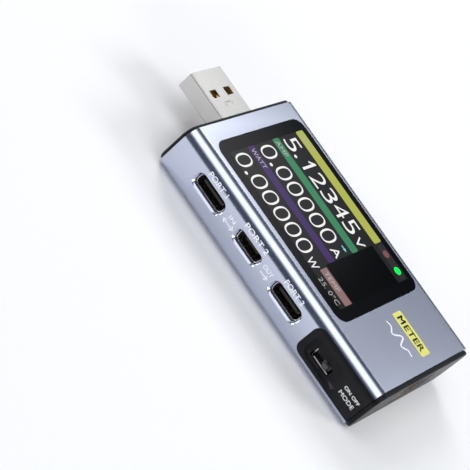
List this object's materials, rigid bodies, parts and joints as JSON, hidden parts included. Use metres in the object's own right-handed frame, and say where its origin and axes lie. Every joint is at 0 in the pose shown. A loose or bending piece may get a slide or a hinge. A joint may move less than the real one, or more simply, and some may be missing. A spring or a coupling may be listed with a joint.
{
  "type": "usb power meter",
  "caption": "Inline USB power meter: a flat aluminium sleeve with black end caps, a colour display, a USB plug and socket, side ports, a slide switch, a jog lever and a button.",
  "frame": {"origin": "centre of the bounding box in plan, at the back face that lies on the table", "axes": "+X from the plug to the socket, +Y towards the jog lever and button, +Z out of the display"},
  "size_m": [0.0826, 0.0432, 0.0124],
  "materials": {
    "blue_grey_aluminium": "bead-blasted, blue-grey anodised",
    "black_plastic": "fine satin grain",
    "black_window": "high gloss",
    "screen": "colour display",
    "white_plastic": "moulded",
    "copper_film": "flexible circuit film",
    "green_board": "solder mask",
    "nickel_plate": "nickel plated sheet",
    "gold_plate": "gold plated",
    "amber_plastic": "moulded",
    "chip_black": "moulded",
    "grey_plastic": "moulded",
    "steel_screw": "zinc plated",
    "tan_ceramic": "fired"
  },
  "bodies": {
    "meter_body": {"housing_sleeve": "blue_grey_aluminium", "plug_end_cap": "black_plastic", "socket_end_cap": "black_plastic", "switch_side_insert": "black_plastic", "button_side_insert": "black_plastic", "display_window": "black_window", "lcd_panel": "screen", "backlight_tray": "white_plastic", "display_ribbon": "copper_film", "main_board": "green_board", "back_label_plate": "black_plastic", "usb_plug_shell": "nickel_plate", "usb_plug_insulator": "black_plastic", "usb_plug_contact_1": "gold_plate", "usb_plug_contact_2": "gold_plate", "usb_plug_contact_3": "gold_plate", "usb_plug_contact_4": "gold_plate", "usb_socket_shell": "nickel_plate", "usb_socket_tongue": "amber_plastic", "usb_socket_contact_1": "gold_plate", "usb_socket_contact_2": "gold_plate", "usb_socket_contact_3": "gold_plate", "usb_socket_contact_4": "gold_plate", "type_c_port_1_shell": "nickel_plate", "type_c_port_1_tongue": "chip_black", "micro_port_shell": "nickel_plate", "micro_port_tongue": "chip_black", "type_c_port_2_shell": "nickel_plate", "type_c_port_2_tongue": "chip_black", "data_port_shell": "nickel_plate", "data_port_tongue": "chip_black", "slide_switch_frame": "nickel_plate", "slide_switch_base": "chip_black", "jog_switch_housing": "nickel_plate", "back_switch_body": "nickel_plate", "screw_1": "steel_screw", "screw_2": "steel_screw", "screw_3": "steel_screw", "screw_4": "steel_screw", "microcontroller_chip": "chip_black", "converter_chip": "chip_black", "memory_chip": "chip_black", "shunt_resistor": "nickel_plate", "power_switch_chip": "chip_black", "storage_capacitor": "tan_ceramic"},
    "switch_knob": {"slide_switch_knob": "grey_plastic"},
    "jog_slider": {"jog_slider": "grey_plastic"},
    "jog_lever": {"jog_lever": "black_plastic"},
    "back_button": {"back_button": "black_plastic"},
    "back_plunger": {"back_switch_plunger": "grey_plastic"}
  },
  "joints": [
    {"name": "switch_slide", "type": "slide", "parent": "meter_body", "child": "switch_knob", "axis": [1, 0, 0], "range_m": [-0.002, 0]},
    {"name": "jog_press", "type": "slide", "parent": "meter_body", "child": "jog_slider", "axis": [0, -1, 0], "range_m": [0, 0.0003], "stiffness_N_per_m": 100, "springref_m": -0.0003},
    {"name": "jog_rock", "type": "hinge", "parent": "jog_slider", "child": "jog_lever", "pos_m": [0.01765, 0.01875, 0.0066], "axis": [0, 0, 1], "range_deg": [-7, 7], "stiffness_Nm_per_rad": 0.002},
    {"name": "back_press", "type": "slide", "parent": "meter_body", "child": "back_button", "axis": [0, -1, 0], "range_m": [0, 0.0004], "stiffness_N_per_m": 100, "springref_m": -0.0003},
    {"name": "plunger_press", "type": "slide", "parent": "meter_body", "child": "back_plunger", "axis": [0, -1, 0], "range_m": [0, 0.0004]}
  ],
  "couplings": [
    {"joint": "plunger_press", "follows": "back_press", "ratio": 1}
  ]
}
